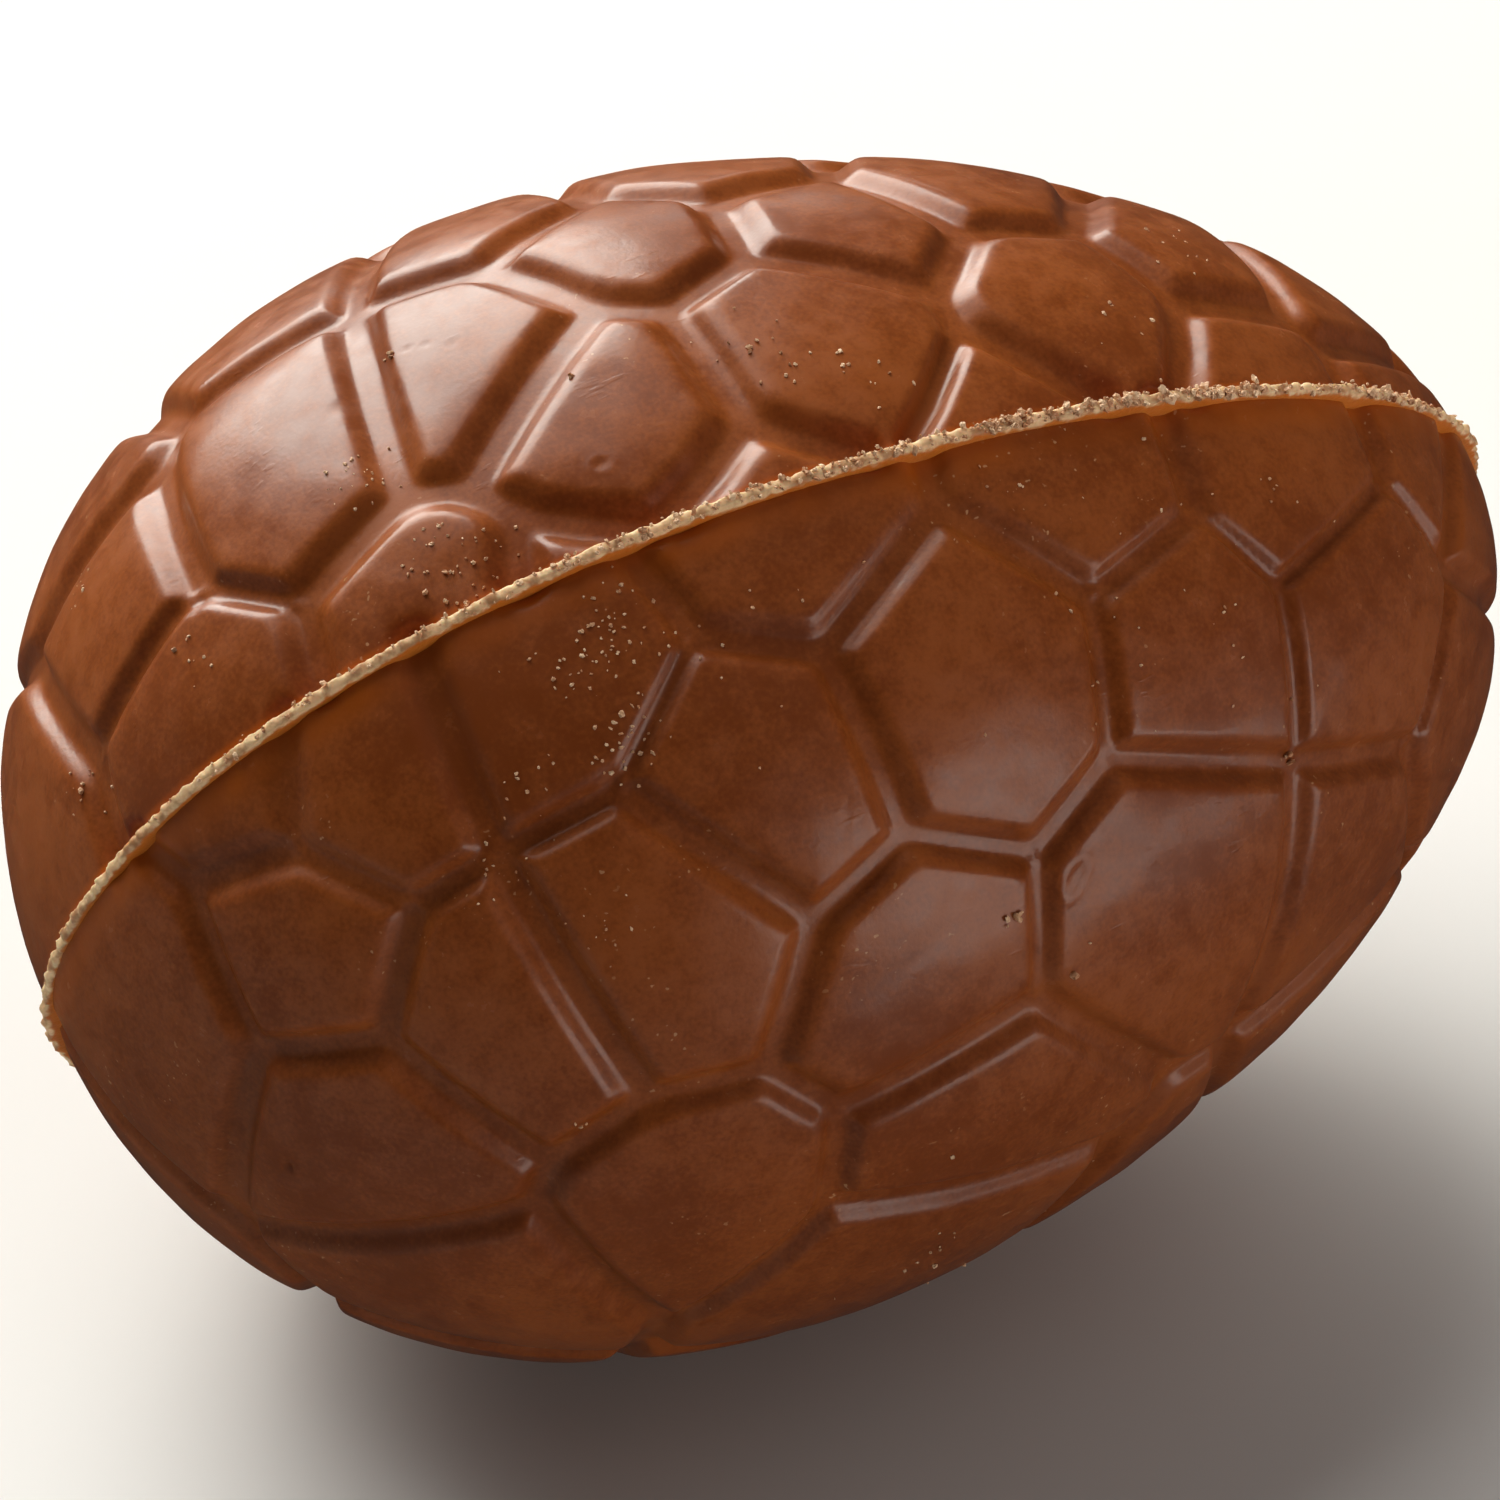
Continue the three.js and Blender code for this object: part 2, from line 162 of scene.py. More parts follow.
@dataclass(frozen=True)
class EggForm:
    """The smooth egg under the plates, lying on its side with its narrow end at +X."""

    half_length: float = 25.0 * MM
    half_width: float = 18.25 * MM
    taper: float = -0.163
    belly: float = 0.027
    seam_angle: float = math.radians(67.1)
    axis_height: float = 18.154 * MM

    @property
    def centre(self) -> np.ndarray:
        """Middle of the long axis."""
        return np.array([0.0, 0.0, self.axis_height])

    @property
    def out(self) -> np.ndarray:
        """Direction from the axis to the seam's front edge."""
        return np.array([0.0, -math.cos(self.seam_angle), math.sin(self.seam_angle)])

    @property
    def up(self) -> np.ndarray:
        """Direction from the seam plane into the upper half."""
        return np.array([0.0, math.sin(self.seam_angle), math.cos(self.seam_angle)])

    def girth(self, turn: np.ndarray) -> np.ndarray:
        """Radius at a turn of the outline, 0 at the narrow end and pi at the blunt end."""
        c = np.cos(turn)
        return self.half_width * np.sin(turn) * (1 + self.taper * c + self.belly * c * c)

    def slope(self, turn: np.ndarray) -> np.ndarray:
        """How fast the radius grows with the turn."""
        step = 1e-4
        return (self.girth(turn + step) - self.girth(turn - step)) / (2 * step)

    def outline_normal(self, turn: np.ndarray) -> tuple[np.ndarray, np.ndarray]:
        """Outward normal of the outline.

        Args:
            turn: Turns of the outline.

        Returns:
            Its share along the axis, and its share away from the axis.
        """
        along = self.slope(turn)
        away = self.half_length * np.sin(turn)
        length = np.hypot(along, away)
        return along / length, away / length

    def wrap(self, rays: np.ndarray) -> tuple[np.ndarray, np.ndarray]:
        """Carries directions from the middle onto the egg.

        Args:
            rays: Rows of unit directions.

        Returns:
            Points on the plain egg, and the outward normals there.
        """
        turn = np.arccos(np.clip(rays[:, 0], -1, 1))
        round_axis = rays[:, 1:] / np.maximum(np.linalg.norm(rays[:, 1:], axis=1, keepdims=True), 1e-12)
        points = np.column_stack([self.half_length * np.cos(turn), self.girth(turn)[:, None] * round_axis])
        along, away = self.outline_normal(turn)
        normals = np.column_stack([along, away[:, None] * round_axis])
        return points + self.centre, normals

    def rays_at(self, places: np.ndarray) -> np.ndarray:
        """Directions whose wrap lies at the given places.

        Args:
            places: Rows of a distance along X in millimetres and an angle in degrees about the axis,
                from the seam's front edge, positive over the upper half.

        Returns:
            Rows of unit directions.
        """
        cosine = np.clip(places[:, 0] * MM / self.half_length, -1, 1)
        sine = np.sqrt(1 - cosine**2)
        angle = np.radians(places[:, 1])
        side = np.cos(angle)[:, None] * self.out + np.sin(angle)[:, None] * self.up
        return np.column_stack([cosine, sine[:, None] * side[:, 1:]])

    def turns_of(self, points: np.ndarray) -> np.ndarray:
        """Turns of the outline at the points' places along X."""
        return np.arccos(np.clip((points - self.centre)[:, 0] / self.half_length, -1, 1))


# ---- The net of grooves ----


@dataclass(frozen=True)
class OwnGroove:
    """A groove with its own width and depth, as shares of the usual ones, and a place near its middle."""

    x: float
    angle: float
    width: float
    depth: float


OWN_GROOVES = (
    OwnGroove(11.7, -22, 0.6, 0.7),
    OwnGroove(15.2, -20, 0.6, 0.7),
    OwnGroove(11.4, -36, 0.65, 0.75),
    OwnGroove(18.7, -20, 0.6, 0.7),
    OwnGroove(19, -42, 0.55, 0.7),
    OwnGroove(7.6, -17, 0.85, 0.7),
    OwnGroove(4.4, -30, 0.85, 0.9),
    OwnGroove(0.7, -50, 0.75, 0.8),
    OwnGroove(-10.3, -15, 0.6, 0.65),
    OwnGroove(-18.2, -9, 1, 0.65),
    OwnGroove(-19.2, -26, 0.9, 0.65),
    OwnGroove(-13.9, -44, 1.15, 1.1),
    OwnGroove(-3.9, -61, 1.15, 1.1),
    OwnGroove(-20.9, 22, 0.7, 0.75),
    OwnGroove(-19.2, 13, 0.8, 0.85),
    OwnGroove(3.3, 6, 0.8, 0.95),
    OwnGroove(-9.1, 18, 1.45, 1),
    OwnGroove(-12.9, 28, 1.35, 1),
    OwnGroove(-17.6, 42, 1.3, 1),
)


@dataclass
class GrooveNet:
    """The grooves between the plates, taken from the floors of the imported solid's grooves."""

    form: EggForm
    solid_depth: float = 0.6 * MM
    depth: float = 0.5 * MM
    floor_half_width: float = 0.32 * MM
    rim_half_width: float = 0.74 * MM
    floor_rounding: float = 0.045 * MM
    rim_rounding: float = 0.07 * MM
    upper_width: float = 1.25
    seam_fade: float = 0.4
    seam_fade_reach: float = 3.5 * MM
    corner_rounding: float = 0.08 * MM
    rim_roll: float = 0.045 * MM
    rim_roll_reach: float = 0.55 * MM
    dome: float = 0.12 * MM
    dome_reach: float = 4.0 * MM
    sample_step: float = 0.4 * MM
    neighbours: int = 26
    width_spread: float = 0.1
    chains: list[np.ndarray] = field(default_factory=list)

    def __post_init__(self) -> None:
        """Reads the floors and prepares the search."""
        points, edges = self._floor_edges()
        self._trace_chains(points, edges)
        self._prepare_search()

    def _floor_edges(self) -> tuple[np.ndarray, np.ndarray]:
        """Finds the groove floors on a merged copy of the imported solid.

        Returns:
            All points raised onto the plain egg, and the pairs of points along floors.
        """
        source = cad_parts[EGG_NODE]
        mesh = source.data.copy()
        work = bmesh.new()
        work.from_mesh(mesh)
        bmesh.ops.remove_doubles(work, verts=work.verts, dist=0.001 * MM)
        points = np.array([v.co[:] for v in work.verts])
        pairs = np.array([[v.index for v in e.verts] for e in work.edges])
        work.free()
        bpy.data.meshes.remove(mesh)
        turn = self.form.turns_of(points)
        local = points - self.form.centre
        radius = np.hypot(local[:, 1], local[:, 2])
        along, away = self.form.outline_normal(turn)
        height = (radius - self.form.girth(turn)) * away
        low = height < -0.6 * self.solid_depth
        round_axis = local[:, 1:] / np.maximum(radius, 1e-9)[:, None]
        raised = points + self.solid_depth * np.column_stack([along, away[:, None] * round_axis])
        return raised, pairs[low[pairs[:, 0]] & low[pairs[:, 1]]]

    def _trace_chains(self, points: np.ndarray, pairs: np.ndarray) -> None:
        """Follows the floors from junction to junction.

        Args:
            points: All points.
            pairs: Pairs of neighbouring floor points.
        """
        links: dict[int, list[int]] = {}
        for a, b in pairs.tolist():
            links.setdefault(a, []).append(b)
            links.setdefault(b, []).append(a)
        used: set[tuple[int, int]] = set()
        for start in sorted(links):
            if len(links[start]) == 2:
                continue
            for following in sorted(links[start]):
                if (start, following) in used:
                    continue
                walk = [start, following]
                while len(links[walk[-1]]) == 2:
                    ahead = [n for n in links[walk[-1]] if n != walk[-2]]
                    if not ahead:
                        break
                    walk.append(ahead[0])
                used.update({(walk[0], walk[1]), (walk[-1], walk[-2])})
                self.chains.append(points[walk])

    def _prepare_search(self) -> None:
        """Lays samples along every chain and gives each chain its width."""
        rng = np.random.default_rng(5)
        starts, ends, owners, samples, sample_segment = [], [], [], [], []
        for number, chain in enumerate(self.chains):
            for a, b in zip(chain[:-1], chain[1:]):
                count = max(2, int(np.linalg.norm(b - a) / self.sample_step) + 1)
                for share in (np.arange(count) + 0.5) / count:
                    samples.append(a + (b - a) * share)
                    sample_segment.append(len(starts))
                starts.append(a)
                ends.append(b)
                owners.append(number)
        self.starts = np.array(starts)
        self.ends = np.array(ends)
        self.owners = np.array(owners)
        self.sample_segment = np.array(sample_segment)
        self.tree = kdtree.KDTree(len(samples))
        for k, sample in enumerate(samples):
            self.tree.insert(sample, k)
        self.tree.balance()
        self.widths = 1 + self.width_spread * rng.uniform(-1, 1, len(self.chains))
        middles = np.array([chain.mean(axis=0) for chain in self.chains])
        self.widths[(middles - self.form.centre) @ self.form.up > 0] *= self.upper_width
        self.depth_shares = np.ones(len(self.chains))
        for groove in OWN_GROOVES:
            place, _ = self.form.wrap(self.form.rays_at(np.array([[groove.x, groove.angle]])))
            nearest = np.linalg.norm(middles - place, axis=1).argmin()
            self.widths[nearest] = groove.width
            self.depth_shares[nearest] = groove.depth

    def distances(self, points: np.ndarray) -> tuple[np.ndarray, np.ndarray]:
        """Distance from points on the plain egg to the grooves, each measured in its own width.

        Args:
            points: Rows on the plain egg.

        Returns:
            One distance for each point, rounded off where grooves meet, and the depth share there.
        """
        found = [[hit[1] for hit in self.tree.find_n(p, self.neighbours)] for p in points.tolist()]
        segment = self.sample_segment[np.array(found)]
        a = self.starts[segment]
        ab = self.ends[segment] - a
        ap = points[:, None, :] - a
        share = np.clip((ap * ab).sum(axis=2) / np.maximum((ab * ab).sum(axis=2), 1e-18), 0, 1)
        away = np.linalg.norm(ap - share[:, :, None] * ab, axis=2)
        owner = self.owners[segment]
        away = away / self.widths[owner]
        total = np.zeros(len(points))
        share_sum = np.zeros(len(points))
        left = away.copy()
        rows = np.arange(len(points))
        nearest = away.min(axis=1)
        for _ in range(3):
            pick = left.argmin(axis=1)
            value = left[rows, pick]
            weight = np.exp(-(value - nearest) / self.corner_rounding)
            total += weight
            share_sum += weight * self.depth_shares[owner[rows, pick]]
            left[owner == owner[rows, pick][:, None]] = np.inf
        return np.maximum(nearest - self.corner_rounding * np.log(total), 0), share_sum / total

    def hollow(self, distance: np.ndarray) -> np.ndarray:
        """Share of the full groove depth at a distance, 1 on the floor and 0 on a plate."""
        return 1 - soft_step(
            distance, self.floor_half_width, self.rim_half_width, self.floor_rounding, self.rim_rounding
        )

    def height(self, surface: np.ndarray, distance: np.ndarray, depth_share: np.ndarray) -> np.ndarray:
        """Height over the plain egg, from the distance to the nearest groove.

        Args:
            surface: Rows on the plain egg.
            distance: Their distances to the grooves.
            depth_share: Depth of the grooves there, as a share of the usual depth.

        Returns:
            Heights, below zero in the grooves.
        """
        past_rim = np.maximum(distance - self.rim_half_width, 0)
        roll = self.rim_roll * np.exp(-past_rim / self.rim_roll_reach)
        dome = self.dome * (1 - np.exp(-((distance / self.dome_reach) ** 2)))
        from_seam = (surface - self.form.centre) @ self.form.up
        faded = self.seam_fade * np.exp(-((from_seam / self.seam_fade_reach) ** 2)) * (from_seam < 0)
        return dome - roll - self.depth * depth_share * (1 - faded) * self.hollow(distance)


# ---- Marks on the plates ----


@dataclass(frozen=True)
class Mark:
    """A dent, pit or scratch: where it lies, how long, wide and deep it is, and how it is turned."""

    x: float
    angle: float
    length: float
    width: float
    depth: float
    turn: float = 0.0
    rim: float = 0.0


MARKS = (
    Mark(1.9, -46, 1.0, 0.5, 0.05, 60, 0.03),
    Mark(-21.7, -72, 0.5, 0.3, 0.12, 30),
    Mark(-7, -65, 0.3, 0.2, 0.07, 0),
    Mark(-3.3, -79, 0.45, 0.3, 0.1, 0),
    Mark(-10.9, 33, 0.35, 0.2, 0.06, 0),
    Mark(-10.4, 32, 0.3, 0.2, 0.05, 0),
    Mark(-9.8, 30, 0.25, 0.2, 0.04, 0),
    Mark(-11.9, 37, 0.5, 0.2, 0.07, 70),
    Mark(-12.1, 34, 0.35, 0.28, 0.1, 20),
    Mark(-12.3, 31, 0.6, 0.18, 0.07, 100),
    Mark(-12.5, 28, 0.3, 0.24, 0.09, 50),
    Mark(-12.6, 25, 0.5, 0.16, 0.05, 80),
    Mark(-8.1, 8, 0.5, 0.4, 0.03, 0, 0.02),
    Mark(-13.5, 31, 0.9, 0.7, 0.04, 20),
    Mark(-5.1, -32, 1.6, 0.12, 0.014, 70),
    Mark(-4.7, -31, 1.1, 0.1, 0.012, 110),
    Mark(-2.5, -36, 1.0, 0.12, 0.014, 150),
    Mark(-2.9, -44, 0.8, 0.1, 0.012, 40),
    Mark(4.7, -46, 0.9, 0.12, 0.02, 20, 0.01),
)


# ---- Finishes ----


class NodeBench:
    """Lays out the nodes of one material and links them."""

    def __init__(self, name: str) -> None:
        """Starts an empty node tree.

        Args:
            name: Name of the material.
        """
        self.material = bpy.data.materials.new(name)
        self.material.use_nodes = True
        self.tree = self.material.node_tree
        self.tree.nodes.clear()
        self.column = 0

    def add(self, kind: str, **settings: object) -> bpy.types.Node:
        """Adds a node.

        Args:
            kind: Blender's name of the node type.
            settings: Properties of the node to set.

        Returns:
            The new node.
        """
        node = self.tree.nodes.new(kind)
        self.column += 1
        node.location = (180 * (self.column % 9), -220 * (self.column // 9))
        for key, value in settings.items():
            setattr(node, key, value)
        return node

    def feed(self, socket: bpy.types.NodeSocket, value: object) -> None:
        """Links an output to a socket, or sets the socket to a plain value."""
        if isinstance(value, bpy.types.NodeSocket):
            self.tree.links.new(value, socket)
        else:
            socket.default_value = value

    def noise(self, where: object, size: float, detail: float = 2.0, roughness: float = 0.5) -> object:
        """Noise in space.

        Args:
            where: Coordinates that the pattern reads.
            size: Rough size of a patch, in metres.
            detail: Number of finer layers.
            roughness: Strength of the finer layers.

        Returns:
            The noise's value output.
        """
        node = self.add("ShaderNodeTexNoise")
        self.feed(node.inputs["Vector"], where)
        node.inputs["Scale"].default_value = 1 / size
        node.inputs["Detail"].default_value = detail
        node.inputs["Roughness"].default_value = roughness
        return node.outputs["Fac"]

    def span(self, value: object, low: float, high: float, to_low: float = 0, to_high: float = 1) -> object:
        """Maps a value from one range to another, smoothly and held at the ends."""
        node = self.add("ShaderNodeMapRange", interpolation_type="SMOOTHSTEP")
        self.feed(node.inputs["Value"], value)
        for name, number in (("From Min", low), ("From Max", high), ("To Min", to_low), ("To Max", to_high)):
            node.inputs[name].default_value = number
        return node.outputs["Result"]

    def sum(self, operation: str, a: object, b: object) -> object:
        """Works out one sum on two values."""
        node = self.add("ShaderNodeMath", operation=operation)
        self.feed(node.inputs[0], a)
        self.feed(node.inputs[1], b)
        return node.outputs[0]

    def mix(self, share: object, a: object, b: object) -> object:
        """Mixes two colours.

        Args:
            share: 0 for the first, 1 for the second.
            a: First colour.
            b: Second colour.

        Returns:
            The mixed colour.
        """
        node = self.add("ShaderNodeMix", data_type="RGBA")
        self.feed(node.inputs[0], share)
        self.feed(node.inputs[6], a)
        self.feed(node.inputs[7], b)
        return node.outputs[2]

    def bump(self, height: object, strength: float, depth: float, under: object = None) -> object:
        """Turns a height into a bumped normal."""
        node = self.add("ShaderNodeBump")
        node.inputs["Strength"].default_value = strength
        node.inputs["Distance"].default_value = depth
        self.feed(node.inputs["Height"], height)
        if under is not None:
            self.feed(node.inputs["Normal"], under)
        return node.outputs["Normal"]

    def values(self, name: str) -> object:
        """Reads a number stored on the piece's points."""
        return self.add("ShaderNodeAttribute", attribute_name=name).outputs["Fac"]

    def finish(self, **sockets: object) -> bpy.types.Material:
        """Adds the shader and the output.

        Args:
            sockets: Shader inputs by name, with underscores for spaces.

        Returns:
            The finished material.
        """
        shader = self.add("ShaderNodeBsdfPrincipled")
        for name, value in sockets.items():
            self.feed(shader.inputs[name.replace("_", " ")], value)
        output = self.add("ShaderNodeOutputMaterial")
        self.tree.links.new(shader.outputs[0], output.inputs["Surface"])
        return self.material


def colour(red: float, green: float, blue: float) -> tuple[float, float, float, float]:
    """A colour as display values from 0 to 255, made linear."""
    shares = [value / 255 for value in (red, green, blue)]
    linear = [s / 12.92 if s <= 0.04045 else ((s + 0.055) / 1.055) ** 2.4 for s in shares]
    return (*linear, 1.0)


@dataclass(frozen=True)
class ChocolateFinish:
    """Satin milk chocolate with faint mottling, grain, pale specks and a painted orange glow just under the
    seam.
    """

    form: EggForm
    deep: tuple[float, float, float, float] = colour(120, 57, 18)
    body: tuple[float, float, float, float] = colour(148, 77, 29)
    # Painted glow under the seam: light shining through the thin edge, put into the colour.
    painted_orange_glow: tuple[float, float, float, float] = colour(168, 82, 12)
    speck: tuple[float, float, float, float] = colour(196, 150, 108)
    haze_roughness: float = 0.4
    haze: float = 0.34
    gloss: float = 0.4
    gloss_roughness: float = 0.18

    def material(self) -> bpy.types.Material:
        """Builds the material.

        Returns:
            The chocolate's material.
        """
        bench = NodeBench("milk_chocolate_satin")
        where = bench.add("ShaderNodeTexCoord").outputs["Object"]
        broad = bench.noise(where, 7 * MM, 3)
        fine = bench.noise(where, 0.9 * MM, 4, 0.6)
        grain = bench.noise(where, 0.16 * MM, 2)
        tone = bench.sum("ADD", bench.sum("MULTIPLY", broad, 0.45), bench.sum("MULTIPLY", fine, 0.3))
        tone = bench.sum("ADD", tone, bench.sum("MULTIPLY", grain, 0.25))
        base = bench.mix(bench.span(tone, 0.38, 0.62), self.deep, self.body)

        # Painted glow: a more orange, saturated band on the lower half just under the seam stands for light
        # shining through the thin chocolate there.
        from_seam = bench.values("from_seam")
        edge = bench.span(from_seam, -1.9, -0.6)
        under = bench.span(from_seam, 0.3, 0.05)
        patch = bench.span(bench.noise(where, 3.5 * MM, 2), 0.3, 0.65, 0.5, 1.0)
        painted_glow_share = bench.sum("MULTIPLY", bench.sum("MULTIPLY", edge, under), patch)
        base = bench.mix(painted_glow_share, base, self.painted_orange_glow)

        clusters = bench.span(bench.noise(where, 5 * MM, 2), 0.56, 0.68)
        dots = bench.span(bench.noise(where, 0.22 * MM, 1), 0.7, 0.76)
        specks = bench.sum("MULTIPLY", clusters, dots)
        base = bench.mix(bench.sum("MULTIPLY", specks, 0.7), base, self.speck)

        rough = bench.span(fine, 0.3, 0.75, self.haze_roughness - 0.05, self.haze_roughness + 0.08)
        polish = bench.span(fine, 0.3, 0.75, self.gloss_roughness - 0.04, self.gloss_roughness + 0.1)
        swept = bench.add("ShaderNodeMapping")
        bench.feed(swept.inputs["Vector"], where)
        swept.inputs["Rotation"].default_value = (0.5, 0.7, 0.4)
        swept.inputs["Scale"].default_value = (0.16, 1.0, 1.0)
        streaks = bench.span(bench.noise(swept.outputs[0], 0.3 * MM, 2), 0.6, 0.72)
        handled = bench.span(bench.noise(where, 3.2 * MM, 2), 0.54, 0.68)
        normal = bench.bump(fine, 0.25, 0.03 * MM)
        normal = bench.bump(grain, 0.35, 0.012 * MM, normal)
        normal = bench.bump(bench.sum("MULTIPLY", streaks, handled), 0.35, 0.015 * MM, normal)
        return bench.finish(
            Base_Color=base,
            Roughness=rough,
            Normal=normal,
            IOR=1.45,
            Specular_IOR_Level=self.haze,
            Coat_Weight=self.gloss,
            Coat_Roughness=polish,
            Coat_IOR=1.45,
            Coat_Normal=normal,
            Subsurface_Weight=0.12,
            Subsurface_Radius=(1.0, 0.4, 0.15),
            Subsurface_Scale=0.8 * MM,
        )


@dataclass(frozen=True)
class ScrapedFinish:
    """The trimmed fin: chocolate at its root, made lighter and more orange as a painted glow of light through
    the thin fin, pale and crumbly along the cut tip.
    """

    # The root's colour is partly the chocolate and partly painted glow: lighter and more orange than the
    # halves, standing for light shining through the thin fin.
    root: tuple[float, float, float, float] = colour(200, 116, 40)
    scraped: tuple[float, float, float, float] = colour(232, 200, 154)
    shade: tuple[float, float, float, float] = colour(178, 134, 92)

    def material(self) -> bpy.types.Material:
        """Builds the material.

        Returns:
            The fin's material.
        """
        bench = NodeBench("scraped_fin")
        where = bench.add("ShaderNodeTexCoord").outputs["Object"]
        coarse = bench.noise(where, 0.7 * MM, 3, 0.6)
        fine = bench.noise(where, 0.15 * MM, 2)
        tip = bench.values("tip")
        crumbly = bench.mix(bench.span(coarse, 0.35, 0.62), self.shade, self.scraped)
        reach = bench.sum("ADD", tip, bench.span(coarse, 0.3, 0.7, -0.25, 0.25))
        base = bench.mix(bench.span(reach, 0.35, 0.8), self.root, crumbly)
        normal = bench.bump(fine, 0.7, 0.03 * MM)
        return bench.finish(
            Base_Color=base,
            Roughness=bench.span(reach, 0.3, 0.8, 0.35, 0.62),
            Normal=normal,
            IOR=1.5,
            Subsurface_Weight=0.2,
            Subsurface_Radius=(1.0, 0.45, 0.18),
            Subsurface_Scale=0.6 * MM,
        )


@dataclass(frozen=True)
class CrumbFinish:
    """Crumbs and scrapings, from cream to brown."""

    pale: tuple[float, float, float, float] = colour(236, 204, 166)
    brown: tuple[float, float, float, float] = colour(180, 122, 80)

    def material(self) -> bpy.types.Material:
        """Builds the material.

        Returns:
            The crumbs' material.
        """
        bench = NodeBench("crumbs")
        where = bench.add("ShaderNodeTexCoord").outputs["Object"]
        fine = bench.noise(where, 0.12 * MM, 2)
        share = bench.sum("ADD", bench.values("shade"), bench.span(fine, 0.3, 0.7, -0.15, 0.15))
        normal = bench.bump(fine, 0.5, 0.02 * MM)
        return bench.finish(
            Base_Color=bench.mix(share, self.pale, self.brown), Roughness=0.5, Normal=normal, IOR=1.5
        )


@dataclass(frozen=True)
class FloorFinish:
    """Smooth pale board."""

    light: tuple[float, float, float, float] = colour(234, 233, 231)
    dark: tuple[float, float, float, float] = colour(228, 227, 225)

    def material(self) -> bpy.types.Material:
        """Builds the material.

        Returns:
            The floor's material.
        """
        bench = NodeBench("pale_board")
        where = bench.add("ShaderNodeTexCoord").outputs["Object"]
        tone = bench.noise(where, 40 * MM, 3)
        return bench.finish(Base_Color=bench.mix(tone, self.light, self.dark), Roughness=0.75)


# ---- The egg's pieces ----


@dataclass
class MouldedHalf:
    """One half of the egg, from the seam plane outwards, with its plates and grooves pressed in."""

    form: EggForm
    net: GrooveNet
    side: Side
    finish: bpy.types.Material
    fineness: int = 5
    first_cuts: int = 4
    groove_reach: float = 0.95 * MM
    swell: float = 0.035 * MM
    swell_length: float = 7 * MM
    wobble: float = 0.008 * MM
    wobble_length: float = 1.6 * MM
    sharpest_smooth: float = math.radians(60)

    @property
    def name(self) -> str:
        """Name of the piece."""
        return f"{self.side.name.lower()}_half"

    def build(self) -> bpy.types.Object:
        """Models the half.

        Returns:
            The finished half.
        """
        piece = self._cut_ball()
        self._refine(piece)
        self._press(piece)
        self._close(piece)
        self._dress(piece)
        return piece

    def _cut_ball(self) -> bpy.types.Object:
        """Adds a ball of radius 1 and cuts away what lies beyond the seam plane.

        Returns:
            The open half ball.
        """
        start_afresh()
        bpy.ops.mesh.primitive_ico_sphere_add(subdivisions=self.fineness, radius=1.0, location=(0, 0, 0))
        piece = named_piece(self.name)
        bpy.ops.object.mode_set(mode="EDIT")
        bpy.ops.mesh.select_all(action="SELECT")
        bpy.ops.mesh.subdivide(number_cuts=self.first_cuts)
        bpy.ops.mesh.select_all(action="SELECT")
        away = -self.side.value * self.form.up
        bpy.ops.mesh.bisect(
            plane_co=(0, 0, 0), plane_no=away.tolist(), use_fill=False, clear_inner=False, clear_outer=True
        )
        bpy.ops.object.mode_set(mode="OBJECT")
        self._round_off(piece.data)
        return piece

    def _round_off(self, mesh: bpy.types.Mesh) -> None:
        """Lays all points back on the ball of radius 1."""
        rays = read_points(mesh)
        write_points(mesh, rays / np.linalg.norm(rays, axis=1, keepdims=True))

    def _refine(self, piece: bpy.types.Object) -> None:
        """Divides the faces near grooves and marks.

        Args:
            piece: The open half ball.
        """
        mesh = piece.data
        rays = read_points(mesh)
        surface, _ = self.form.wrap(rays)
        near = self.net.distances(surface)[0] < self.groove_reach
        near |= self._near_marks(surface)
        take_hold(piece)
        bpy.ops.object.mode_set(mode="EDIT")
        bpy.context.tool_settings.mesh_select_mode = (False, False, True)
        bpy.ops.mesh.select_all(action="DESELECT")
        work = bmesh.from_edit_mesh(mesh)
        for face in work.faces:
            if any(near[corner.index] for corner in face.verts):
                face.select_set(True)
        bmesh.update_edit_mesh(mesh)
        bpy.ops.mesh.subdivide(number_cuts=1, ngon=False)
        bpy.ops.object.mode_set(mode="OBJECT")
        self._round_off(mesh)

    def _near_marks(self, surface: np.ndarray) -> np.ndarray:
        """Tells which points lie close to a mark.

        Args:
            surface: Rows on the plain egg.

        Returns:
            True for each point near a mark.
        """
        near = np.zeros(len(surface), dtype=bool)
        for mark in MARKS:
            place, _ = self.form.wrap(self.form.rays_at(np.array([[mark.x, mark.angle]])))
            near |= np.linalg.norm(surface - place, axis=1) < (0.6 * mark.length + 0.4) * MM
        return near

    def _marked(self, surface: np.ndarray) -> np.ndarray:
        """Depths of all dents, pits and scratches.

        Args:
            surface: Rows on the plain egg.

        Returns:
            Heights to add, mostly below zero.
        """
        total = np.zeros(len(surface))
        for mark in MARKS:
            place, normal = self.form.wrap(self.form.rays_at(np.array([[mark.x, mark.angle]])))
            across = np.cross(self.form.up, normal[0])
            across /= np.linalg.norm(across)
            level = np.cross(normal[0], across)
            way = math.radians(mark.turn)
            long_way = math.cos(way) * across + math.sin(way) * level
            short_way = -math.sin(way) * across + math.cos(way) * level
            offset = (surface - place) / MM
            out = np.hypot(offset @ long_way / mark.length, offset @ short_way / mark.width) * 2
            deep = np.exp(-(out**4))
            lip = np.exp(-(((out - 1.5) / 0.35) ** 2))
            near = np.linalg.norm(offset, axis=1) < 3 * mark.length
            total += near * (mark.rim * lip - mark.depth * deep) * MM
        return total

